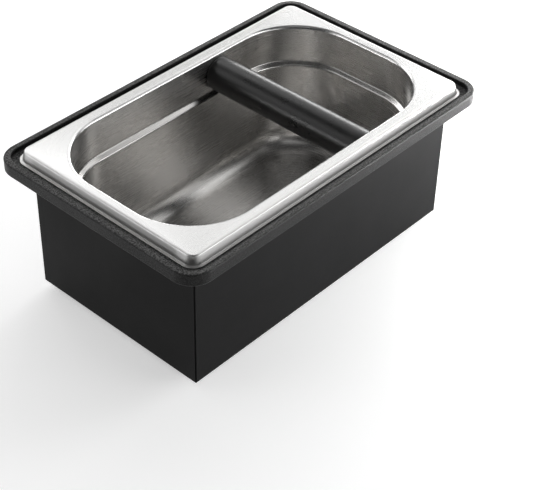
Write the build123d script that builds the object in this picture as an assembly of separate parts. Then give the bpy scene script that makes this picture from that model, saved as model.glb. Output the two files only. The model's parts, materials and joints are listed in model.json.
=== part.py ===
from build123d import *
import os
from math import atan, degrees, radians, tan

# Espresso knock box: a drawn steel pan with a rubber-sleeved knock bar hangs by its lip in a
# moulded rim frame, which is screwed onto a black sheet-metal housing on four rubber feet.
# Millimetres. +X runs along the long side, +Y to the rear, +Z up.
# The origin is the centre of the footprint, on the surface under the feet.

# Pan: a quarter-size gastronorm pan, 265 x 162 over its lip and 100 deep
LIP_L = 265.0
LIP_W = 162.0
LIP_CORNER = 9.5
LIP_OVERHANG = 3.5
LIP_DROP = 6.6
PAN_DEPTH = 100.0
PAN_SHEET = 0.7
FLANGE_Z = 115.0
SKIRT_DRAFT = 14.0
FLANGE_BEND = 1.2
LIP_BEND = 1.3
LIP_EDGE_ROUND = 0.3
WELL_L = 242.4
WELL_W = 137.0
WELL_CORNER = 49.0
MOUTH_BEND = 2.4
SHOULDER_DEPTH = 29.0
SHOULDER_DROP = 2.1
SHOULDER_STEP = 3.5
SHOULDER_TOP_BEND = 1.2
SHOULDER_FOOT_BEND = 2.0
WALL_DRAFT = 1.5
FLOOR_BEND = 16.0

# Knock bar: a steel core in a rubber sleeve, held by a screw through each long wall
BAR_X = 43.0
BAR_DROP = 16.5
SLEEVE_R = 12.5
SLEEVE_BORE_R = 8.03
SLEEVE_ROUND = 1.2
CORE_R = 8.0
CORE_EDGE = 0.8
SEAL_R = 7.9
SEAL_BORE_R = 3.3
SEAL_THICK = 1.0
BAR_SCREW_R = 3.0
BAR_SCREW_REACH = 14.0
BAR_HEAD_R = 5.5
BAR_HEAD_H = 1.5
BAR_SOCKET_R = 2.3
BAR_SOCKET_DEPTH = 0.9
BAR_THREAD_R = 3.05
BAR_THREAD_DEPTH = 18.0
WALL_HOLE_R = 3.25
BAR_WASHER_R = 7.0
BAR_WASHER_BORE_R = 3.2
BAR_WASHER_THICK = 0.5

# Housing: a folded sheet box with an out-turned top flange
BODY_L = 248.0
BODY_W = 146.0
BODY_H = 97.6
BODY_SHEET = 1.2
BODY_FOLD = 0.6
CORNER_SEAM = 0.9
TOP_FLANGE = 12.0
TOP_FLANGE_CHAMFER = 8.0
FLANGE_ROOT_BEND = 1.0

# Rim frame: an upstand all round and a ledge that carries the pan's lip
RIM_L = 284.0
RIM_W = 179.0
RIM_H = 8.8
RIM_CORNER = 16.0
RECESS_L = 274.0
RECESS_W = 170.0
RECESS_CORNER = 11.0
OPENING_CORNER = 2.0
RIM_TOP_ROUND = 1.2
RIM_FOOT_ROUND = 0.8
RECESS_EDGE_ROUND = 0.6

# Rim screws, driven up through the top flange into blind holes in the rim frame
RIM_SCREW_X = 130.5
RIM_SCREW_Y = 79.5
RIM_SCREW_LONG_SPACING = 84.0
RIM_SCREW_SHORT_OFFSET = 40.0
RIM_SCREW_R = 1.4
RIM_SCREW_INTO_RIM = 3.6
RIM_HEAD_R = 2.75
RIM_HEAD_H = 2.0
RIM_PILOT_R = 1.45
RIM_PILOT_DEPTH = 4.0
RIM_CLEARANCE_R = 1.7

# Feet, each held by a screw, a washer and a nut inside the housing
FOOT_H = 5.0
FOOT_X = 104.0
FOOT_Y = 53.0
FOOT_TOP_R = 10.0
FOOT_BASE_R = 8.8
FOOT_ROUND = 0.8
FOOT_RECESS_R = 4.8
FOOT_WEB = 2.0
FOOT_HOLE_R = 2.25
FOOT_SCREW_R = 2.0
FOOT_SCREW_LENGTH = 8.0
FOOT_HEAD_R = 4.0
FOOT_HEAD_H = 2.2
FOOT_WASHER_R = 4.5
FOOT_WASHER_BORE_R = 2.15
FOOT_WASHER_THICK = 0.8
FOOT_NUT_FLATS = 7.0
FOOT_NUT_H = 3.2
FOOT_NUT_BORE_R = 2.05

# Cross recess of the pan-head screws, in parts of the head's radius
CROSS_SPAN = 1.15
CROSS_WIDTH = 0.24
CROSS_DEPTH = 0.5
HEAD_ROUND = 0.45

# Worked out from the sizes above
FLANGE_L = LIP_L - 2 * LIP_OVERHANG
FLANGE_W = LIP_W - 2 * LIP_OVERHANG
FLANGE_CORNER = LIP_CORNER - LIP_OVERHANG
LIP_TOP_Z = FLANGE_Z - LIP_DROP
LEDGE_Z = LIP_TOP_Z - PAN_SHEET
BODY_TOP_Z = FOOT_H + BODY_H
RIM_TOP_Z = BODY_TOP_Z + RIM_H
CAVITY_L = BODY_L - 2 * BODY_SHEET
CAVITY_W = BODY_W - 2 * BODY_SHEET
BAR_Z = FLANGE_Z - BAR_DROP
CORE_LENGTH = WELL_W - 2 * SEAL_THICK
SHOULDER_SLOPE = degrees(atan(SHOULDER_DROP / SHOULDER_STEP))

OVERCUT = 5.0
OUTLINE_TOLERANCE = 0.02


def rounded_block(length, width, corner, low, high):
    """A block with rounded vertical corners, between two heights."""
    return extrude(Plane.XY.offset(low) * RectangleRounded(length, width, corner), high - low)


def outline_gap(point, length, width, corner):
    """How far a point lies off the outline of a rounded rectangle, seen from above."""
    x = abs(point.X) - (length / 2 - corner)
    y = abs(point.Y) - (width / 2 - corner)
    outside = (max(x, 0) ** 2 + max(y, 0) ** 2) ** 0.5
    return abs(outside + min(max(x, y), 0) - corner)


def outline_edges(solid, level, length, width, corner):
    """The edges of a solid that follow a rounded rectangle at one height."""
    found = ShapeList()
    for edge in solid.edges():
        ends_level = all(abs((edge @ t).Z - level) < OUTLINE_TOLERANCE for t in (0, 0.5, 1))
        if ends_level and outline_gap(edge @ 0.5, length, width, corner) < OUTLINE_TOLERANCE:
            found.append(edge)
    return found


def rod_y(radius, start, end):
    """A round bar along Y on the knock bar's axis, between two values of Y."""
    middle = (start + end) / 2
    return Pos(BAR_X, middle, BAR_Z) * Rot(90, 0, 0) * Cylinder(radius, abs(end - start))


def tube_y(radius, bore, start, end):
    """A ring or tube along Y on the knock bar's axis."""
    return rod_y(radius, start, end) - rod_y(bore, start - OVERCUT, end + OVERCUT)


def well(grow):
    """The pan's drawn well as a solid: its inside with grow 0, its outside with the sheet."""
    sink = grow * tan(radians((90 - SHOULDER_SLOPE) / 2))
    bend_z = FLANGE_Z - SHOULDER_DEPTH - sink
    step_z = bend_z - SHOULDER_DROP
    floor_z = FLANGE_Z - PAN_DEPTH + PAN_SHEET - grow
    length = WELL_L + 2 * grow
    width = WELL_W + 2 * grow
    corner = WELL_CORNER + grow
    low_length = length - 2 * SHOULDER_STEP
    low_width = width - 2 * SHOULDER_STEP
    low_corner = corner - SHOULDER_STEP
    inset = (step_z - floor_z) * tan(radians(WALL_DRAFT))
    solid = rounded_block(length, width, corner, bend_z, FLANGE_Z)
    shoulder = Sketch() + [
        Plane.XY.offset(bend_z) * RectangleRounded(length, width, corner),
        Plane.XY.offset(step_z) * RectangleRounded(low_length, low_width, low_corner),
    ]
    wall = Sketch() + [
        Plane.XY.offset(step_z) * RectangleRounded(low_length, low_width, low_corner),
        Plane.XY.offset(floor_z)
        * RectangleRounded(low_length - 2 * inset, low_width - 2 * inset, low_corner - inset),
    ]
    solid += loft(shoulder, ruled=True)
    solid += loft(wall, ruled=True)
    floor_edges = outline_edges(
        solid, floor_z, low_length - 2 * inset, low_width - 2 * inset, low_corner - inset
    )
    solid = fillet(floor_edges, FLOOR_BEND + grow)
    solid = fillet(outline_edges(solid, bend_z, length, width, corner), SHOULDER_TOP_BEND + grow)
    foot_edges = outline_edges(solid, step_z, low_length, low_width, low_corner)
    return fillet(foot_edges, SHOULDER_FOOT_BEND - grow)


def skirt_outline(level, inset):
    """Length, width and corner of the drafted skirt at a level, drawn in by inset."""
    spread = (FLANGE_Z - level) * tan(radians(SKIRT_DRAFT)) - inset
    return FLANGE_L + 2 * spread, FLANGE_W + 2 * spread, FLANGE_CORNER + spread


def skirt_block(low, high, inset):
    """The raised flange with its drafted skirt, as a solid between two levels."""
    outlines = Sketch() + [
        Plane.XY.offset(level) * RectangleRounded(*skirt_outline(level, inset))
        for level in (low, high)
    ]
    return loft(outlines, ruled=True)


def pan():
    """Gastronorm pan: drawn well, flat flange, drafted skirt and outer lip."""
    under = FLANGE_Z - PAN_SHEET
    inside_bend = FLANGE_BEND - PAN_SHEET
    foot_bend = LIP_BEND - PAN_SHEET
    brim = skirt_block(LEDGE_Z, FLANGE_Z, 0)
    brim += rounded_block(LIP_L, LIP_W, LIP_CORNER, LEDGE_Z, LIP_TOP_Z)
    brim -= skirt_block(LEDGE_Z - OVERCUT, under, PAN_SHEET)
    brim = fillet(outline_edges(brim, FLANGE_Z, *skirt_outline(FLANGE_Z, 0)), FLANGE_BEND)
    brim = fillet(outline_edges(brim, under, *skirt_outline(under, PAN_SHEET)), inside_bend)
    brim = fillet(outline_edges(brim, LIP_TOP_Z, *skirt_outline(LIP_TOP_Z, 0)), foot_bend)
    brim = fillet(outline_edges(brim, LEDGE_Z, *skirt_outline(LEDGE_Z, PAN_SHEET)), LIP_BEND)
    brim = fillet(outline_edges(brim, LIP_TOP_Z, LIP_L, LIP_W, LIP_CORNER), LIP_EDGE_ROUND)
    solid = brim + well(PAN_SHEET)
    outer = (WELL_L + 2 * PAN_SHEET, WELL_W + 2 * PAN_SHEET, WELL_CORNER + PAN_SHEET)
    solid = fillet(outline_edges(solid, under, *outer), MOUTH_BEND - PAN_SHEET)
    solid -= well(0)
    solid = fillet(outline_edges(solid, FLANGE_Z, WELL_L, WELL_W, WELL_CORNER), MOUTH_BEND)
    return solid - rod_y(WALL_HOLE_R, -LIP_W, LIP_W)


def bar_core():
    """Steel rod inside the sleeve, threaded at both ends."""
    half = CORE_LENGTH / 2
    solid = chamfer(rod_y(CORE_R, -half, half).edges().filter_by(GeomType.CIRCLE), CORE_EDGE)
    for side in (-1, 1):
        solid -= rod_y(BAR_THREAD_R, side * (half - BAR_THREAD_DEPTH), side * (half + OVERCUT))
    return solid


def bar_sleeve():
    """Rubber sleeve over the core, wall to wall, with rounded ends."""
    half = WELL_W / 2
    solid = rod_y(SLEEVE_R, -half, half)
    solid = fillet(solid.edges().filter_by(GeomType.CIRCLE), SLEEVE_ROUND)
    return solid - rod_y(SLEEVE_BORE_R, -half - OVERCUT, half + OVERCUT)


def bar_seal(side):
    """Rubber ring between the core's end and the inside of the pan's wall."""
    return tube_y(SEAL_R, SEAL_BORE_R, *sorted((side * CORE_LENGTH / 2, side * WELL_W / 2)))


def bar_washer(side):
    """Thin steel washer on the outside of the pan's wall."""
    inner = WELL_W / 2 + PAN_SHEET
    ends = sorted((side * inner, side * (inner + BAR_WASHER_THICK)))
    return tube_y(BAR_WASHER_R, BAR_WASHER_BORE_R, *ends)


def bar_screw(side):
    """Thin-headed socket screw through the pan's wall into the core."""
    seat = WELL_W / 2 + PAN_SHEET + BAR_WASHER_THICK
    top = seat + BAR_HEAD_H
    head = rod_y(BAR_HEAD_R, side * seat, side * top)
    head = fillet(head.edges().filter_by(GeomType.CIRCLE).sort_by(Axis.Y)[side], HEAD_ROUND)
    shank = rod_y(BAR_SCREW_R, side * seat, side * (CORE_LENGTH / 2 - BAR_SCREW_REACH))
    mouth = Plane((BAR_X, side * top, BAR_Z), x_dir=(1, 0, 0), z_dir=(0, -side, 0))
    socket = extrude(mouth * RegularPolygon(BAR_SOCKET_R, 6), BAR_SOCKET_DEPTH)
    return head + shank - socket


def rim_screw_places():
    """Centres of the rim screws: three on each long side, two on each short side."""
    long_sides = [
        (step * RIM_SCREW_LONG_SPACING, side * RIM_SCREW_Y) for side in (-1, 1) for step in (-1, 0, 1)
    ]
    short_sides = [
        (side * RIM_SCREW_X, offset * RIM_SCREW_SHORT_OFFSET) for side in (-1, 1) for offset in (-1, 1)
    ]
    return long_sides + short_sides


def foot_places():
    """Centres of the feet, by name."""
    return {
        f"{depth}_{hand}": (x * FOOT_X, y * FOOT_Y)
        for depth, y in (("front", -1), ("rear", 1))
        for hand, x in (("left", -1), ("right", 1))
    }


def column(places, radius, low, high):
    """Upright cylinders of one size at several places."""
    posts = [Pos(x, y, (low + high) / 2) * Cylinder(radius, high - low) for x, y in places]
    return Part() + posts


def housing_box():
    """Folded sheet box: floor, four walls that meet in open corner seams, out-turned flange."""
    flange_z = BODY_TOP_Z - BODY_SHEET
    box = Pos(0, 0, (FOOT_H + BODY_TOP_Z) / 2) * Box(BODY_L, BODY_W, BODY_H)
    box = fillet(box.faces().sort_by(Axis.Z)[0].edges(), BODY_FOLD + BODY_SHEET)
    flange = Pos(0, 0, (flange_z + BODY_TOP_Z) / 2) * Box(
        BODY_L + 2 * TOP_FLANGE, BODY_W + 2 * TOP_FLANGE, BODY_SHEET
    )
    flange = chamfer(flange.edges().filter_by(Axis.Z), TOP_FLANGE_CHAMFER)
    solid = box + flange
    solid = fillet(outline_edges(solid, flange_z, BODY_L, BODY_W, 0), FLANGE_ROOT_BEND)
    for x in (-BODY_L / 2, BODY_L / 2):
        for y in (-BODY_W / 2, BODY_W / 2):
            solid -= Pos(x, y, flange_z / 2) * Box(2 * CORNER_SEAM, 2 * CORNER_SEAM, flange_z)
    floor_z = FOOT_H + BODY_SHEET
    cavity_h = BODY_TOP_Z + OVERCUT - floor_z
    cavity = Pos(0, 0, floor_z + cavity_h / 2) * Box(CAVITY_L, CAVITY_W, cavity_h)
    cavity = fillet(cavity.faces().sort_by(Axis.Z)[0].edges(), BODY_FOLD)
    solid -= cavity
    solid -= column(foot_places().values(), FOOT_HOLE_R, 0, floor_z + OVERCUT)
    return solid - column(rim_screw_places(), RIM_CLEARANCE_R, flange_z - OVERCUT, BODY_TOP_Z + OVERCUT)


def rim_frame():
    """Moulded frame: upstand, ledge for the lip and blind holes underneath."""
    solid = rounded_block(RIM_L, RIM_W, RIM_CORNER, BODY_TOP_Z, RIM_TOP_Z)
    solid -= rounded_block(RECESS_L, RECESS_W, RECESS_CORNER, LEDGE_Z, RIM_TOP_Z + OVERCUT)
    solid -= rounded_block(
        CAVITY_L, CAVITY_W, OPENING_CORNER, BODY_TOP_Z - OVERCUT, RIM_TOP_Z + OVERCUT
    )
    outer = (RIM_L, RIM_W, RIM_CORNER)
    recess = (RECESS_L, RECESS_W, RECESS_CORNER)
    solid = fillet(outline_edges(solid, RIM_TOP_Z, *outer), RIM_TOP_ROUND)
    solid = fillet(outline_edges(solid, BODY_TOP_Z, *outer), RIM_FOOT_ROUND)
    solid = fillet(outline_edges(solid, RIM_TOP_Z, *recess), RECESS_EDGE_ROUND)
    return solid - column(
        rim_screw_places(), RIM_PILOT_R, BODY_TOP_Z - OVERCUT, BODY_TOP_Z + RIM_PILOT_DEPTH
    )


def cross_recess(radius, depth):
    """The tool that cuts a cross recess upwards from height zero."""
    centred = (Align.CENTER, Align.CENTER, Align.MIN)
    bar = Box(CROSS_SPAN * radius, CROSS_WIDTH * radius, depth, align=centred)
    return bar + Rot(0, 0, 90) * bar


def pan_head_screw(head_r, head_h, shank_r, shank_length):
    """A pan-head screw that points up, with the underside of its head at height zero."""
    head = Pos(0, 0, -head_h / 2) * Cylinder(head_r, head_h)
    rim = head.edges().filter_by(GeomType.CIRCLE).sort_by(Axis.Z)[0]
    head = fillet(rim, HEAD_ROUND * head_h)
    shank = Pos(0, 0, shank_length / 2) * Cylinder(shank_r, shank_length)
    return head + shank - Pos(0, 0, -head_h) * cross_recess(head_r, CROSS_DEPTH * head_h)


def at_places(solid, places, level):
    """Copies of one solid, set upright at several places, as one group."""
    return Compound(children=[Pos(x, y, level) * solid for x, y in places])


def rim_screws():
    """Self-tapping screws that hold the rim frame on the top flange."""
    length = BODY_SHEET + RIM_SCREW_INTO_RIM
    screw = pan_head_screw(RIM_HEAD_R, RIM_HEAD_H, RIM_SCREW_R, length)
    return at_places(screw, rim_screw_places(), BODY_TOP_Z - BODY_SHEET)


def foot(x, y):
    """Rubber foot with a recess for its screw's head."""
    solid = Pos(0, 0, FOOT_H / 2) * Cone(FOOT_BASE_R, FOOT_TOP_R, FOOT_H)
    rim = solid.edges().filter_by(GeomType.CIRCLE).sort_by(Axis.Z)[0]
    solid = fillet(rim, FOOT_ROUND)
    recess_h = FOOT_H - FOOT_WEB + OVERCUT
    solid -= Pos(0, 0, recess_h / 2 - OVERCUT) * Cylinder(FOOT_RECESS_R, recess_h)
    solid -= Cylinder(FOOT_HOLE_R, 4 * FOOT_H)
    return Pos(x, y, 0) * solid


def foot_screws():
    """Machine screws that hold the feet."""
    screw = pan_head_screw(FOOT_HEAD_R, FOOT_HEAD_H, FOOT_SCREW_R, FOOT_SCREW_LENGTH)
    return at_places(screw, foot_places().values(), FOOT_H - FOOT_WEB)


def foot_washers():
    """Plain washers on the housing's floor, under the nuts."""
    ring = Pos(0, 0, FOOT_WASHER_THICK / 2) * Cylinder(FOOT_WASHER_R, FOOT_WASHER_THICK)
    ring -= Cylinder(FOOT_WASHER_BORE_R, 4 * FOOT_WASHER_THICK)
    return at_places(ring, foot_places().values(), FOOT_H + BODY_SHEET)


def foot_nuts():
    """Hexagon nuts on the foot screws, inside the housing."""
    nut = extrude(RegularPolygon(FOOT_NUT_FLATS / 2, 6, major_radius=False), FOOT_NUT_H)
    nut -= Cylinder(FOOT_NUT_BORE_R, 4 * FOOT_NUT_H)
    return at_places(nut, foot_places().values(), FOOT_H + BODY_SHEET + FOOT_WASHER_THICK)


def build():
    """Every node of the model, by name."""
    nodes = {
        "housing_box": housing_box(),
        "rim_frame": rim_frame(),
        "rim_screws": rim_screws(),
        "foot_screws": foot_screws(),
        "foot_washers": foot_washers(),
        "foot_nuts": foot_nuts(),
        "pan": pan(),
        "bar_core": bar_core(),
        "bar_sleeve": bar_sleeve(),
    }
    for name, (x, y) in foot_places().items():
        nodes[f"foot_{name}"] = foot(x, y)
    for name, side in (("front", -1), ("rear", 1)):
        nodes[f"bar_screw_{name}"] = bar_screw(side)
        nodes[f"bar_washer_{name}"] = bar_washer(side)
        nodes[f"bar_seal_{name}"] = bar_seal(side)
    return nodes


os.makedirs("parts", exist_ok=True)
for node, shape in build().items():
    export_step(shape, f"parts/{node}.step")
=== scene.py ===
import json
import math

import bmesh
import bpy
from mathutils import Matrix, Vector


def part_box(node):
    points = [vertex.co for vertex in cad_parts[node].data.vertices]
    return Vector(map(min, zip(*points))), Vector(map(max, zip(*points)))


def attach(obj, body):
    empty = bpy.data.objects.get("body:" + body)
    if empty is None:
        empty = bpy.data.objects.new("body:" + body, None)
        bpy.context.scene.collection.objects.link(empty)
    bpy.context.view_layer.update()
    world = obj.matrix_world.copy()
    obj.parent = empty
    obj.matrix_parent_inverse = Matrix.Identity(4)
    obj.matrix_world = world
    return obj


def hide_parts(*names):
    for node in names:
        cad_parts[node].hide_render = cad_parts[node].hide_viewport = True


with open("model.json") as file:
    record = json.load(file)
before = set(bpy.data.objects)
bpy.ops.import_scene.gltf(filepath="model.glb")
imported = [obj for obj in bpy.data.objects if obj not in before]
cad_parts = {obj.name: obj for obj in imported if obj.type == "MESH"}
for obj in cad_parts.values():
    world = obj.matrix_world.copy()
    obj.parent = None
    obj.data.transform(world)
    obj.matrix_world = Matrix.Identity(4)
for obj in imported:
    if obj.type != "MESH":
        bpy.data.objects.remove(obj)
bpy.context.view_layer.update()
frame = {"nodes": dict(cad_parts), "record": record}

# Espresso knock box: the pan, the rim frame, the knock bar's sleeve and the floor are made here.
# The housing, the feet and the fasteners are the CAD solids with detailed materials.
# Metres. +X runs along the long side, +Y to the rear, +Z up.

MM = 0.001

# ---------------------------------------------------------------- materials

WEAR_FROM, WEAR_TO = 0.02, 0.16
WEAR_SAMPLES = 4
LEVEL_FROM, LEVEL_TO = 0.55, 0.95


def new_material(name):
    """A node material with only an output and a Principled shader."""
    material = bpy.data.materials.new(name)
    material.use_nodes = True
    nodes = material.node_tree.nodes
    nodes.clear()
    output = nodes.new("ShaderNodeOutputMaterial")
    shader = nodes.new("ShaderNodeBsdfPrincipled")
    material.node_tree.links.new(shader.outputs["BSDF"], output.inputs["Surface"])
    return material, shader


class Graph:
    """Short ways to add and link nodes in one material."""

    def __init__(self, material):
        self.tree = material.node_tree

    def add(self, kind, **settings):
        """A new node with the given settings."""
        node = self.tree.nodes.new(kind)
        for key, value in settings.items():
            setattr(node, key, value)
        return node

    def link(self, source, target):
        """Join an output to an input."""
        self.tree.links.new(source, target)

    def place(self):
        """A point's place in the piece's own coordinates, in metres."""
        return self.add("ShaderNodeTexCoord").outputs["Object"]

    def upward(self, vector):
        """The Z part of a vector."""
        parts = self.add("ShaderNodeSeparateXYZ")
        self.link(vector, parts.inputs["Vector"])
        return parts.outputs["Z"]

    def facing_up(self):
        """1 where a surface lies level and faces up, 0 where it is steep."""
        geometry = self.add("ShaderNodeNewGeometry")
        return self.spread(self.upward(geometry.outputs["Normal"]), 0, 1, LEVEL_FROM, LEVEL_TO)

    def along(self, scale):
        """The brush coordinates of a mesh, scaled along and across the brush lines."""
        layer = self.add("ShaderNodeUVMap", uv_map="brush")
        mapping = self.add("ShaderNodeMapping")
        mapping.inputs["Scale"].default_value = (scale[0], scale[1], 1)
        self.link(layer.outputs["UV"], mapping.inputs["Vector"])
        return mapping.outputs["Vector"]

    def noise(self, vector, scale=1.0, detail=3.0, roughness=0.5):
        """Smooth noise from 0 to 1, with most values between 0.3 and 0.7."""
        node = self.add("ShaderNodeTexNoise")
        node.inputs["Scale"].default_value = scale
        node.inputs["Detail"].default_value = detail
        node.inputs["Roughness"].default_value = roughness
        self.link(vector, node.inputs["Vector"])
        return node.outputs["Fac"]

    def pebbles(self, vector, scale):
        """Rounded cells, as the distance from each cell's middle."""
        node = self.add("ShaderNodeTexVoronoi", feature="SMOOTH_F1")
        node.inputs["Scale"].default_value = scale
        self.link(vector, node.inputs["Vector"])
        return node.outputs["Distance"]

    def spread(self, value, low, high, start=0.3, end=0.7):
        """Map a texture value between start and end onto low to high."""
        node = self.add("ShaderNodeMapRange")
        node.inputs["From Min"].default_value = start
        node.inputs["From Max"].default_value = end
        node.inputs["To Min"].default_value = low
        node.inputs["To Max"].default_value = high
        self.link(value, node.inputs["Value"])
        return node.outputs["Result"]

    def math(self, kind, first, second):
        """An operation on two values, each a number or an output."""
        node = self.add("ShaderNodeMath", operation=kind)
        for socket, value in zip(node.inputs, (first, second)):
            if isinstance(value, (int, float)):
                socket.default_value = value
            else:
                self.link(value, socket)
        return node.outputs["Value"]

    def colours(self, value, stops):
        """A colour ramp with two stops, each (position, (r, g, b))."""
        node = self.add("ShaderNodeValToRGB")
        for element, (position, colour) in zip(node.color_ramp.elements, stops):
            element.position = position
            element.color = (*colour, 1)
        self.link(value, node.inputs["Fac"])
        return node.outputs["Color"]

    def mix(self, factor, first, second):
        """A blend of two colours, each a tuple or an output."""
        node = self.add("ShaderNodeMix", data_type="RGBA")
        self.link(factor, node.inputs["Factor"])
        for name, value in (("A", first), ("B", second)):
            socket = [s for s in node.inputs if s.name == name and s.type == "RGBA"][0]
            if isinstance(value, tuple):
                socket.default_value = (*value, 1)
            else:
                self.link(value, socket)
        return [s for s in node.outputs if s.type == "RGBA"][0]

    def bump(self, height, distance, strength):
        """A normal bent by a height; the distance is in metres."""
        node = self.add("ShaderNodeBump")
        node.inputs["Distance"].default_value = distance
        node.inputs["Strength"].default_value = strength
        self.link(height, node.inputs["Height"])
        return node.outputs["Normal"]

    def edge_wear(self, radius):
        """Near 1 on sharp edges, 0 elsewhere."""
        bevel = self.add("ShaderNodeBevel", samples=WEAR_SAMPLES)
        bevel.inputs["Radius"].default_value = radius
        geometry = self.add("ShaderNodeNewGeometry")
        cross = self.add("ShaderNodeVectorMath", operation="DISTANCE")
        self.link(bevel.outputs["Normal"], cross.inputs[0])
        self.link(geometry.outputs["Normal"], cross.inputs[1])
        return self.spread(cross.outputs["Value"], 0, 1, WEAR_FROM, WEAR_TO)


BRUSH_FINE = (18, 5200)
BRUSH_COARSE = (7, 1400)
# The well's colours are warmer and slightly darker than the flange's: painted warm reflected light from
# the well's own walls.
WELL_PAINTED_WARM_DARK, WELL_PAINTED_WARM_PALE = (0.63, 0.618, 0.602), (0.70, 0.690, 0.676)
FLANGE_DARK, FLANGE_PALE = (0.64, 0.638, 0.632), (0.70, 0.698, 0.692)
TONE_CHANGE_LOW, TONE_CHANGE_HIGH = 98 * MM, 113 * MM
BRIM_ROUGHNESS = 0.22


def pan_steel():
    """Satin stainless sheet: fine brush lines along the rings, rougher on the brim, with a warmer,
    slightly darker base colour down in the well that is painted warm reflected light.
    """
    material, shader = new_material("pan_steel")
    g = Graph(material)
    shader.inputs["Metallic"].default_value = 1.0
    shader.inputs["Anisotropic"].default_value = 0.35
    shader.inputs["Anisotropic Rotation"].default_value = 0.25
    tangent = g.add("ShaderNodeTangent", direction_type="UV_MAP", uv_map="brush")
    g.link(tangent.outputs["Tangent"], shader.inputs["Tangent"])
    fine = g.noise(g.along(BRUSH_FINE), detail=2.0, roughness=0.6)
    coarse = g.noise(g.along(BRUSH_COARSE), detail=3.0, roughness=0.55)
    handling = g.noise(g.place(), scale=26, detail=4.0, roughness=0.6)
    lines = g.math("ADD", g.math("MULTIPLY", fine, 0.6), g.math("MULTIPLY", coarse, 0.4))
    well = g.colours(lines, [(0.30, WELL_PAINTED_WARM_DARK), (0.70, WELL_PAINTED_WARM_PALE)])
    flange = g.colours(lines, [(0.30, FLANGE_DARK), (0.70, FLANGE_PALE)])
    # Blend from the painted warm well colour below to the neutral flange colour above, between the two
    # heights.
    rise = g.spread(g.upward(g.place()), 0, 1, TONE_CHANGE_LOW, TONE_CHANGE_HIGH)
    g.link(g.mix(rise, well, flange), shader.inputs["Base Color"])
    brim = g.add("ShaderNodeAttribute", attribute_name="brim").outputs["Fac"]
    satin = g.math("ADD", g.spread(lines, -0.018, 0.018), g.spread(handling, 0.255, 0.285))
    rough = g.math("ADD", satin, g.math("MULTIPLY", brim, BRIM_ROUGHNESS))
    g.link(rough, shader.inputs["Roughness"])
    g.link(g.bump(lines, 0.01 * MM, 0.07), shader.inputs["Normal"])
    return material


STAIN_DARKENING = 0.72
WEAR_BRIGHTENING = 1.25


def turned_steel(name, tone, roughness):
    """Bright fastener steel with fine turning marks and slight staining."""
    material, shader = new_material(name)
    g = Graph(material)
    shader.inputs["Metallic"].default_value = 1.0
    marks = g.noise(g.place(), scale=2600, detail=2.0)
    stain = g.noise(g.place(), scale=240, detail=4.0, roughness=0.6)
    dark = tuple(part * STAIN_DARKENING for part in tone)
    bright = tuple(min(part * WEAR_BRIGHTENING, 1) for part in tone)
    colour = g.colours(stain, [(0.35, dark), (0.6, tone)])
    worn = g.mix(g.edge_wear(0.2 * MM), colour, bright)
    g.link(worn, shader.inputs["Base Color"])
    g.link(g.spread(stain, roughness - 0.07, roughness + 0.09), shader.inputs["Roughness"])
    g.link(g.bump(marks, 0.02 * MM, 0.3), shader.inputs["Normal"])
    return material


COAT_DARK, COAT_PALE = (0.0020, 0.0020, 0.0021), (0.0045, 0.0045, 0.0047)
COAT_RUBBED = (0.03, 0.03, 0.031)


def powder_coat():
    """Fine-textured black powder coat with slightly rubbed edges."""
    material, shader = new_material("housing_coat")
    g = Graph(material)
    grain = g.noise(g.place(), scale=1500, detail=3.0, roughness=0.6)
    pebbles = g.pebbles(g.place(), scale=900)
    cloud = g.noise(g.place(), scale=18, detail=4.0, roughness=0.6)
    base = g.colours(grain, [(0.3, COAT_DARK), (0.7, COAT_PALE)])
    worn = g.mix(g.math("MULTIPLY", g.edge_wear(0.5 * MM), 0.35), base, COAT_RUBBED)
    g.link(worn, shader.inputs["Base Color"])
    g.link(g.spread(cloud, 0.42, 0.52), shader.inputs["Roughness"])
    shader.inputs["Specular IOR Level"].default_value = 0.08
    height = g.math("ADD", g.math("MULTIPLY", pebbles, 0.7), g.math("MULTIPLY", grain, 0.5))
    g.link(g.bump(height, 0.08 * MM, 0.30), shader.inputs["Normal"])
    return material


RIM_DARK, RIM_PALE = (0.001, 0.001, 0.001), (0.018, 0.018, 0.018)
# Paler colours for level, up-facing faces: painted light falling on the rim's top.
PAINTED_TOP_LIGHT_DARK, PAINTED_TOP_LIGHT_PALE = (0.012, 0.012, 0.012), (0.150, 0.149, 0.147)
RIM_POLISHED = (0.05, 0.05, 0.05)


def rim_plastic():
    """Matte moulded plastic: spark-eroded texture, edges polished by handling, and a top painted paler
    as painted light from above.
    """
    material, shader = new_material("rim_plastic")
    g = Graph(material)
    spark = g.noise(g.place(), scale=950, detail=5.0, roughness=0.70)
    cloud = g.noise(g.place(), scale=30, detail=4.0, roughness=0.6)
    plain_plastic = g.colours(spark, [(0.46, RIM_DARK), (0.60, RIM_PALE)])
    painted_top_light = g.colours(spark, [(0.42, PAINTED_TOP_LIGHT_DARK), (0.60, PAINTED_TOP_LIGHT_PALE)])
    # Level, up-facing faces take the paler colour: painted light on the top.
    base = g.mix(g.facing_up(), plain_plastic, painted_top_light)
    worn = g.mix(g.math("MULTIPLY", g.edge_wear(0.7 * MM), 0.5), base, RIM_POLISHED)
    g.link(worn, shader.inputs["Base Color"])
    g.link(g.spread(cloud, 0.38, 0.46), shader.inputs["Roughness"])
    shader.inputs["Specular IOR Level"].default_value = 0.15
    g.link(g.bump(spark, 0.35 * MM, 0.75), shader.inputs["Normal"])
    return material


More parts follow.
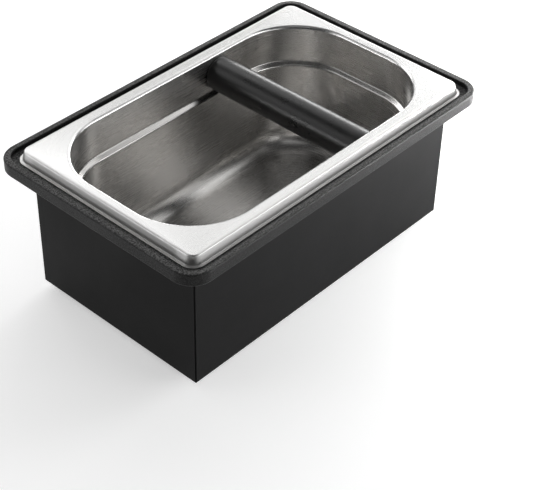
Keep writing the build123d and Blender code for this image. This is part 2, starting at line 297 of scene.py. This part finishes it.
def black_rubber(name, roughness, tone=0.005):
    """Black rubber: faint mould grain and a slightly paler, warmer bloom."""
    material, shader = new_material(name)
    g = Graph(material)
    grain = g.noise(g.place(), scale=900, detail=4.0, roughness=0.6)
    bloom = g.noise(g.place(), scale=45, detail=5.0, roughness=0.65)
    dark = (tone, tone, tone)
    pale = (tone * 2.1, tone * 2.05, tone * 2.0)
    g.link(g.colours(bloom, [(0.35, dark), (0.75, pale)]), shader.inputs["Base Color"])
    shader.inputs["Specular IOR Level"].default_value = 0.50
    broad = g.spread(bloom, roughness - 0.05, roughness + 0.06)
    g.link(g.math("ADD", broad, g.spread(grain, -0.02, 0.02)), shader.inputs["Roughness"])
    g.link(g.bump(grain, 0.18 * MM, 0.55), shader.inputs["Normal"])
    return material


FLOOR_GLOW = 0.44
FLOOR_DARK, FLOOR_PALE = (0.86, 0.86, 0.86), (0.88, 0.88, 0.88)


def floor_paint():
    """Pale matt studio floor that glows a little, like a lit table."""
    material, shader = new_material("studio_floor")
    g = Graph(material)
    mottle = g.noise(g.place(), scale=4, detail=4.0)
    g.link(g.colours(mottle, [(0.3, FLOOR_DARK), (0.7, FLOOR_PALE)]), shader.inputs["Base Color"])
    shader.inputs["Roughness"].default_value = 0.9
    shader.inputs["Specular IOR Level"].default_value = 0.1
    shader.inputs["Emission Color"].default_value = (1, 1, 1, 1)
    shader.inputs["Emission Strength"].default_value = FLOOR_GLOW
    return material


# ---------------------------------------------------------------- mesh helpers

CORNER_STEPS = 28
LONG_STEPS = 30
SHORT_STEPS = 16


def outline(half_x, half_y, corner):
    """(x, y, out_x, out_y) round a rounded rectangle, counter-clockwise from above, from the +X side."""
    spots = []
    centre_x, centre_y = half_x - corner, half_y - corner
    quarters = (
        (1, 1, 0, LONG_STEPS),
        (-1, 1, 90, SHORT_STEPS),
        (-1, -1, 180, LONG_STEPS),
        (1, -1, 270, SHORT_STEPS),
    )
    for index, (sign_x, sign_y, start, run_steps) in enumerate(quarters):
        for step in range(CORNER_STEPS + 1):
            turn = math.radians(start + 90 * step / CORNER_STEPS)
            out_x, out_y = math.cos(turn), math.sin(turn)
            x = sign_x * centre_x + corner * out_x
            y = sign_y * centre_y + corner * out_y
            spots.append((x, y, out_x, out_y))
        x, y, out_x, out_y = spots[-1]
        next_x, next_y = quarters[(index + 1) % len(quarters)][:2]
        end_x = next_x * centre_x + corner * out_x
        end_y = next_y * centre_y + corner * out_y
        for step in range(1, run_steps):
            share = step / run_steps
            spots.append((x + (end_x - x) * share, y + (end_y - y) * share, out_x, out_y))
    return spots


def rounded_profile(points, steps):
    """A polyline of (across, z, radius) with its corners rounded to arcs, as (spot, normal) rows."""
    rows = []
    last = len(points) - 1
    for index, (across, z, radius) in enumerate(points):
        here = Vector((across, z))
        before = (here - Vector(points[index - 1][:2])).normalized() if index else None
        after = (Vector(points[index + 1][:2]) - here).normalized() if index < last else None
        if before is None or after is None or radius == 0:
            along = before if after is None else after
            rows.append((here, Vector((-along.y, along.x))))
            continue
        turn = math.atan2(before.x * after.y - before.y * after.x, before.dot(after))
        reach = radius * math.tan(abs(turn) / 2)
        side = 1 if turn > 0 else -1
        centre = here - before * reach + Vector((-before.y, before.x)) * radius * side
        arm = here - before * reach - centre
        for step in range(steps + 1):
            swing = Matrix.Rotation(turn * step / steps, 2)
            spoke = swing @ arm
            rows.append((centre + spoke, -spoke.normalized() * side))
    return rows


def ring_at(half_x, half_y, corner, spot):
    """The size and height of the outline that runs through one spot of a profile."""
    return half_x + spot.x, half_y + spot.x, corner + spot.x, spot.y


def level_rings(first, second, shares):
    """Rings that face up, at the given shares of the way from one ring to another."""
    return [
        (tuple(a + (b - a) * share for a, b in zip(first, second)), Vector((0, 1)))
        for share in shares
    ]


def ring_mesh(name, rings, material, closed=False):
    """Stacked outlines joined by quads. rings are ((half_x, half_y, corner, z), (out, up)) rows."""
    mesh = bpy.data.meshes.new(name)
    bm = bmesh.new()
    layer = bm.loops.layers.uv.new("brush")
    loops, normals = [], []
    for (half_x, half_y, corner, z), (out, up) in rings:
        spots = outline(half_x, half_y, corner)
        loops.append([bm.verts.new((x, y, z)) for x, y, _, _ in spots])
        normals += [(out * out_x, out * out_y, up) for _, _, out_x, out_y in spots]
    count = len(loops[0])
    lengths = [0.0]
    for index in range(count):
        a, b = loops[-1][index].co, loops[-1][(index + 1) % count].co
        lengths.append(lengths[-1] + (b - a).length)
    heights = [0.0]
    for row in range(len(loops)):
        low, high = loops[row][0].co, loops[(row + 1) % len(loops)][0].co
        heights.append(heights[-1] + (high - low).length)
    for row in range(len(loops) if closed else len(loops) - 1):
        lower, upper = loops[row], loops[(row + 1) % len(loops)]
        for index in range(count):
            following = (index + 1) % count
            face = bm.faces.new((lower[index], lower[following], upper[following], upper[index]))
            places = (
                (lengths[index], heights[row]),
                (lengths[index + 1], heights[row]),
                (lengths[index + 1], heights[row + 1]),
                (lengths[index], heights[row + 1]),
            )
            for loop, place in zip(face.loops, places):
                loop[layer].uv = place
    if not closed:
        bm.faces.new(loops[0])
        bm.faces.new(loops[-1])
    bmesh.ops.recalc_face_normals(bm, faces=bm.faces)
    for face in bm.faces:
        face.smooth = True
    bm.to_mesh(mesh)
    bm.free()
    mesh.normals_split_custom_set_from_vertices(normals)
    mesh.materials.append(material)
    piece = bpy.data.objects.new(name, mesh)
    bpy.context.scene.collection.objects.link(piece)
    return piece


# ---------------------------------------------------------------- the object

bar_low, bar_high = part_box("bar_sleeve")
pan_low, pan_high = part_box("pan")
rim_low, rim_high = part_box("rim_frame")

# Pan: the upper side of the sheet, with the sizes of the CAD pan
SHEET = 0.7 * MM
LIP_OVERHANG = 3.5 * MM
SKIRT_DRAFT = math.radians(14)
LIP_CORNER = 9.5 * MM
LIP_DROP = 6.6 * MM
FLANGE_BEND = 1.2 * MM
LIP_BEND = 0.6 * MM
WELL_X = 121.2 * MM
WELL_Y = 68.5 * MM
WELL_CORNER = 49 * MM
MOUTH_BEND = 2.4 * MM
SHOULDER_DEPTH = 29 * MM
SHOULDER_DROP = 2.1 * MM
SHOULDER_STEP = 3.5 * MM
SHOULDER_TOP_BEND = 1.2 * MM
SHOULDER_FOOT_BEND = 2 * MM
WALL_DRAFT = math.radians(1.5)
FLOOR_BEND = 16 * MM
FLOOR_RUN = 1 * MM
FLANGE_RUN = 0.3 * MM
WELL_BEND_STEPS = 10
BRIM_BEND_STEPS = 8
FLANGE_RINGS = 6
FLOOR_RINGS = 10
FLOOR_CORE_X = 52 * MM
FLOOR_CORE_Y = 2 * MM
TIGHT_CORNER = 0.3 * MM
BRIM_BAND = 5.5 * MM
BRIM_BLEND = 1.5 * MM
NOSE_STEPS = 6


def well_rows():
    """The well's upper side, from its floor up to its mouth."""
    top = pan_high.z
    floor_z = pan_low.z + SHEET
    step_z = top - SHOULDER_DEPTH - SHOULDER_DROP
    foot_in = SHOULDER_STEP + (step_z - floor_z) * math.tan(WALL_DRAFT)
    profile = rounded_profile(
        [
            (-foot_in - FLOOR_BEND - FLOOR_RUN, floor_z, 0),
            (-foot_in, floor_z, FLOOR_BEND),
            (-SHOULDER_STEP, step_z, SHOULDER_FOOT_BEND),
            (0, top - SHOULDER_DEPTH, SHOULDER_TOP_BEND),
            (0, top, MOUTH_BEND),
            (MOUTH_BEND + FLANGE_RUN, top, 0),
        ],
        steps=WELL_BEND_STEPS,
    )
    return [(ring_at(WELL_X, WELL_Y, WELL_CORNER, spot), normal) for spot, normal in profile]


def brim_rows():
    """The brim's upper side, from the flange's edge down the skirt and out to the lip."""
    top = pan_high.z
    lip_z = top - LIP_DROP
    profile = rounded_profile(
        [
            (-LIP_OVERHANG - FLANGE_BEND - FLANGE_RUN, top, 0),
            (-LIP_OVERHANG, top, FLANGE_BEND),
            (-LIP_OVERHANG + LIP_DROP * math.tan(SKIRT_DRAFT), lip_z, LIP_BEND),
            (0, lip_z, 0),
        ],
        steps=BRIM_BEND_STEPS,
    )
    return [(ring_at(pan_high.x, pan_high.y, LIP_CORNER, spot), normal) for spot, normal in profile]


def pan_rings():
    """The pan's sheet as rings: its upper side from the floor's middle to the lip, then back below."""
    well, brim = well_rows(), brim_rows()
    edge = well[0][0]
    core = (FLOOR_CORE_X, FLOOR_CORE_Y, FLOOR_CORE_Y, edge[3])
    floor = level_rings(core, edge, [step / FLOOR_RINGS for step in range(FLOOR_RINGS)])
    shares = [step / FLANGE_RINGS for step in range(1, FLANGE_RINGS)]
    flange = level_rings(well[-1][0], brim[0][0], shares)
    above = floor + well + flange + brim
    below = []
    for (x, y, corner, z), normal in reversed(above):
        shift = normal * SHEET
        corner = max(corner - shift.x, TIGHT_CORNER)
        below.append(((x - shift.x, y - shift.x, corner, z - shift.y), -normal))
    half = SHEET / 2
    (x, y, corner, z), up = above[-1]
    above[-1] = ((x - half, y - half, corner - half, z), up)
    (x, y, corner, z), down = below[0]
    below[0] = ((x - half, y - half, corner - half, z), down)
    nose = []
    for step in range(1, NOSE_STEPS):
        turn = math.pi * (0.5 - step / NOSE_STEPS)
        out, rise = math.cos(turn), math.sin(turn)
        shift = out * half - half
        ring = (x + shift, y + shift, corner + shift, z + half + rise * half)
        nose.append((ring, Vector((out, rise))))
    return above + nose + below


def make_pan(material):
    """The drawn pan, as one closed sheet of real thickness."""
    piece = ring_mesh("pan_shell", pan_rings(), material)
    brim = piece.data.attributes.new("brim", "FLOAT", "POINT")
    edge_x, edge_y = pan_high.x - BRIM_BAND, pan_high.y - BRIM_BAND
    for vertex, place in zip(piece.data.vertices, brim.data):
        beyond = max(abs(vertex.co.x) - edge_x, abs(vertex.co.y) - edge_y)
        place.value = min(max(beyond / BRIM_BLEND, 0), 1)
    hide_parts("pan")
    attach(piece, "pan_unit")


# Rim frame, with the sizes of the CAD frame and slightly eased inner edges
RIM_CORNER = 16 * MM
RIM_UPSTAND_X = 5 * MM
RIM_UPSTAND_Y = 4.5 * MM
RECESS_CORNER = 11 * MM
OPENING_X = 122.8 * MM
OPENING_Y = 71.8 * MM
OPENING_CORNER = 2 * MM
RIM_FOOT_BEND = 0.8 * MM
RIM_TOP_BEND = 1.2 * MM
RIM_BEND_STEPS = 6
RECESS_BEND = 0.7 * MM
LEDGE_BEND = 0.6 * MM
OPENING_TOP_BEND = 0.8 * MM
OPENING_FOOT_BEND = 0.4 * MM
RECESS_BEND_STEPS = 5
UNDER_RUN = 3 * MM
TOP_RUN = 2.4 * MM
RECESS_RUN = 2 * MM
LEDGE_RUN = 3 * MM
OPENING_RUN = 4 * MM


def make_rim(material):
    """The moulded rim frame: rounded upstand, ledge and square opening, as a closed ring."""
    low, high = rim_low.z, rim_high.z
    ledge = pan_high.z - LIP_DROP - SHEET
    outer = rounded_profile(
        [
            (-UNDER_RUN, low, 0),
            (0, low, RIM_FOOT_BEND),
            (0, high, RIM_TOP_BEND),
            (-TOP_RUN, high, 0),
        ],
        steps=RIM_BEND_STEPS,
    )
    recess = rounded_profile(
        [
            (RECESS_RUN, high, 0),
            (0, high, RECESS_BEND),
            (0, ledge, LEDGE_BEND),
            (-LEDGE_RUN, ledge, 0),
        ],
        steps=RECESS_BEND_STEPS,
    )
    opening = rounded_profile(
        [
            (OPENING_RUN, ledge, 0),
            (0, ledge, OPENING_TOP_BEND),
            (0, low, OPENING_FOOT_BEND),
            (UNDER_RUN, low, 0),
        ],
        steps=RECESS_BEND_STEPS,
    )
    recess_x = rim_high.x - RIM_UPSTAND_X
    recess_y = rim_high.y - RIM_UPSTAND_Y
    loops = (
        (outer, rim_high.x, rim_high.y, RIM_CORNER),
        (recess, recess_x, recess_y, RECESS_CORNER),
        (opening, OPENING_X, OPENING_Y, OPENING_CORNER),
    )
    rings = []
    for profile, half_x, half_y, corner in loops:
        rings += [(ring_at(half_x, half_y, corner, spot), -inward) for spot, inward in profile]
    piece = ring_mesh("rim_collar", rings, material, closed=True)
    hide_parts("rim_frame")
    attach(piece, "housing")


# Knock bar sleeve, with the sizes of the CAD sleeve
SLEEVE_STEPS = 96
SLEEVE_LENGTH_STEPS = 24
SLEEVE_ROUND = 1.2 * MM
SLEEVE_BEND_STEPS = 6
BORE_RADIUS = 8.03 * MM
SAME_RADIUS = 1e-7


def sleeve_profile(radius, half):
    """(radius, y) rows round one side of the sleeve, with its long outer run cut into short steps."""
    profile = rounded_profile(
        [
            (BORE_RADIUS, -half, 0),
            (radius, -half, SLEEVE_ROUND),
            (radius, half, SLEEVE_ROUND),
            (BORE_RADIUS, half, 0),
        ],
        steps=SLEEVE_BEND_STEPS,
    )
    rows = [(spot.x, spot.y) for spot, _ in profile]
    outermost = [index for index, (across, _) in enumerate(rows) if abs(across - radius) < SAME_RADIUS]
    split = outermost[len(outermost) // 2]
    start, end = rows[split - 1][1], rows[split][1]
    run = [
        (radius, start + (end - start) * step / SLEEVE_LENGTH_STEPS)
        for step in range(1, SLEEVE_LENGTH_STEPS)
    ]
    return rows[:split] + run + rows[split:]


def make_sleeve(material):
    """The rubber sleeve: a lathe-turned tube with rounded ends and its bore."""
    centre = (bar_low + bar_high) / 2
    half = (bar_high.y - bar_low.y) / 2
    radius = (bar_high.x - bar_low.x) / 2
    mesh = bpy.data.meshes.new("bar_rubber_sleeve")
    bm = bmesh.new()
    rings = []
    for across, along in sleeve_profile(radius, half):
        ring = []
        for step in range(SLEEVE_STEPS):
            turn = 2 * math.pi * step / SLEEVE_STEPS
            x = centre.x + across * math.cos(turn)
            z = centre.z + across * math.sin(turn)
            ring.append(bm.verts.new((x, centre.y + along, z)))
        rings.append(ring)
    for row in range(len(rings)):
        a, b = rings[row], rings[(row + 1) % len(rings)]
        for step in range(SLEEVE_STEPS):
            following = (step + 1) % SLEEVE_STEPS
            bm.faces.new((a[step], a[following], b[following], b[step])).smooth = True
    bmesh.ops.recalc_face_normals(bm, faces=bm.faces)
    bm.to_mesh(mesh)
    bm.free()
    mesh.materials.append(material)
    piece = bpy.data.objects.new("bar_rubber_sleeve", mesh)
    bpy.context.scene.collection.objects.link(piece)
    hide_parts("bar_sleeve")
    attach(piece, "pan_unit")


def dress_cad(materials):
    """Give every CAD node the material of its record slot."""
    slots = {part["node"]: part["material_slot"] for part in frame["record"]["subparts"]}
    for name, node in frame["nodes"].items():
        material = materials[slots[name]]
        if node.material_slots:
            for place in node.material_slots:
                place.material = material
        else:
            node.data.materials.append(material)


# ---------------------------------------------------------------- studio

CAMERA_PLACE = Vector((-0.57901, -0.53509, 0.65337))
CAMERA_AIM = Vector((-0.04041, -0.05553, 0.060))
CAMERA_ROLL = math.radians(1.38)
CAMERA_LENS = 97.14
CAMERA_SENSOR = 36
LIGHT_AIM = Vector((0, 0, 0.06))
FLOOR_HALF = 6
FLOOR_SEGMENTS = 8
SURROUND_GLOW = 0.05


def add_camera():
    """The camera at the viewing angle of the reference view."""
    data = bpy.data.cameras.new("camera")
    data.lens = CAMERA_LENS
    data.sensor_width = CAMERA_SENSOR
    camera = bpy.data.objects.new("camera", data)
    bpy.context.scene.collection.objects.link(camera)
    facing = (CAMERA_AIM - CAMERA_PLACE).to_track_quat("-Z", "Y").to_matrix().to_4x4()
    roll = Matrix.Rotation(CAMERA_ROLL, 4, "Z")
    camera.matrix_world = Matrix.Translation(CAMERA_PLACE) @ facing @ roll
    bpy.context.scene.camera = camera


# Name, azimuth from +Y towards +X, elevation, distance, size and power of each soft light
SOFTBOXES = (
    ("back_high", 46, 47, 1.4, (1.10, 0.42), 2.0),
    ("back_low", 52, 29, 1.4, (1.20, 0.36), 1.3),
    ("back_right_low", 60, 14, 1.4, (0.70, 0.35), 5.5),
    ("top_back", 45, 68, 1.4, (0.90, 0.50), 0.6),
    ("right_bank", 80, 26, 1.4, (0.60, 0.45), 5.0),
    ("right_high", 90, 52, 1.4, (0.70, 0.50), 1.1),
    ("near_right", 118, 4, 0.48, (0.24, 0.13), 5.5),
    ("front_right", 132, 34, 1.4, (0.70, 0.55), 0.9),
    ("front_right_high", 118, 50, 1.4, (0.36, 0.30), 0.25),
    ("strip_right", 140, 10, 1.4, (1.00, 0.28), 4.6),
    ("front_fill", 158, 24, 1.4, (0.60, 0.42), 2.4),
    ("front_low", 180, 14, 1.4, (0.90, 0.50), 2.0),
    ("strip_left", 303, 10, 1.4, (1.00, 0.28), 4.5),
    ("front_left_high", 225, 60, 1.4, (0.90, 0.60), 0.5),
    ("left_back", 315, 40, 1.4, (0.90, 0.60), 1.7),
    ("back_left", 0, 34, 1.4, (0.80, 0.50), 3.5),
    ("back_left_high", 20, 48, 1.4, (0.50, 0.40), 0.6),
)


def add_softbox(name, azimuth, elevation, distance, size, power):
    """A rectangular soft light that faces the object."""
    data = bpy.data.lights.new(name, "AREA")
    data.shape = "RECTANGLE"
    data.size, data.size_y = size
    data.energy = power
    light = bpy.data.objects.new(name, data)
    bpy.context.scene.collection.objects.link(light)
    turn, rise = math.radians(azimuth), math.radians(elevation)
    level = math.cos(rise)
    way = Vector((math.sin(turn) * level, math.cos(turn) * level, math.sin(rise)))
    light.location = way * distance
    light.rotation_euler = (LIGHT_AIM - light.location).to_track_quat("-Z", "Y").to_euler()


def add_floor(material):
    """A large pale floor; it isn't part of the object."""
    mesh = bpy.data.meshes.new("floor")
    bm = bmesh.new()
    bmesh.ops.create_grid(bm, x_segments=FLOOR_SEGMENTS, y_segments=FLOOR_SEGMENTS, size=FLOOR_HALF)
    bm.to_mesh(mesh)
    bm.free()
    mesh.materials.append(material)
    floor = bpy.data.objects.new("floor", mesh)
    bpy.context.scene.collection.objects.link(floor)


def add_studio():
    """Floor, soft lights and a dim, even surround."""
    add_floor(floor_paint())
    for softbox in SOFTBOXES:
        add_softbox(*softbox)
    world = bpy.data.worlds.new("studio")
    world.use_nodes = True
    shade = world.node_tree.nodes["Background"]
    shade.inputs["Color"].default_value = (1, 1, 1, 1)
    shade.inputs["Strength"].default_value = SURROUND_GLOW
    bpy.context.scene.world = world
    bpy.context.scene.view_settings.view_transform = "Standard"


materials = {
    "pan_steel": pan_steel(),
    "core_steel": turned_steel("core_steel", tone=(0.60, 0.60, 0.60), roughness=0.35),
    "bolt_steel": turned_steel("bolt_steel", tone=(0.66, 0.66, 0.66), roughness=0.24),
    "zinc_steel": turned_steel("zinc_steel", tone=(0.62, 0.63, 0.66), roughness=0.32),
    "black_screw": turned_steel("black_screw", tone=(0.05, 0.05, 0.052), roughness=0.42),
    "housing_coat": powder_coat(),
    "rim_plastic": rim_plastic(),
    "bar_rubber": black_rubber("bar_rubber", roughness=0.30),
    "seal_rubber": black_rubber("seal_rubber", roughness=0.5),
    "foot_rubber": black_rubber("foot_rubber", roughness=0.62, tone=0.02),
}
add_camera()
dress_cad(materials)
make_pan(materials["pan_steel"])
make_rim(materials["rim_plastic"])
make_sleeve(materials["bar_rubber"])
add_studio()
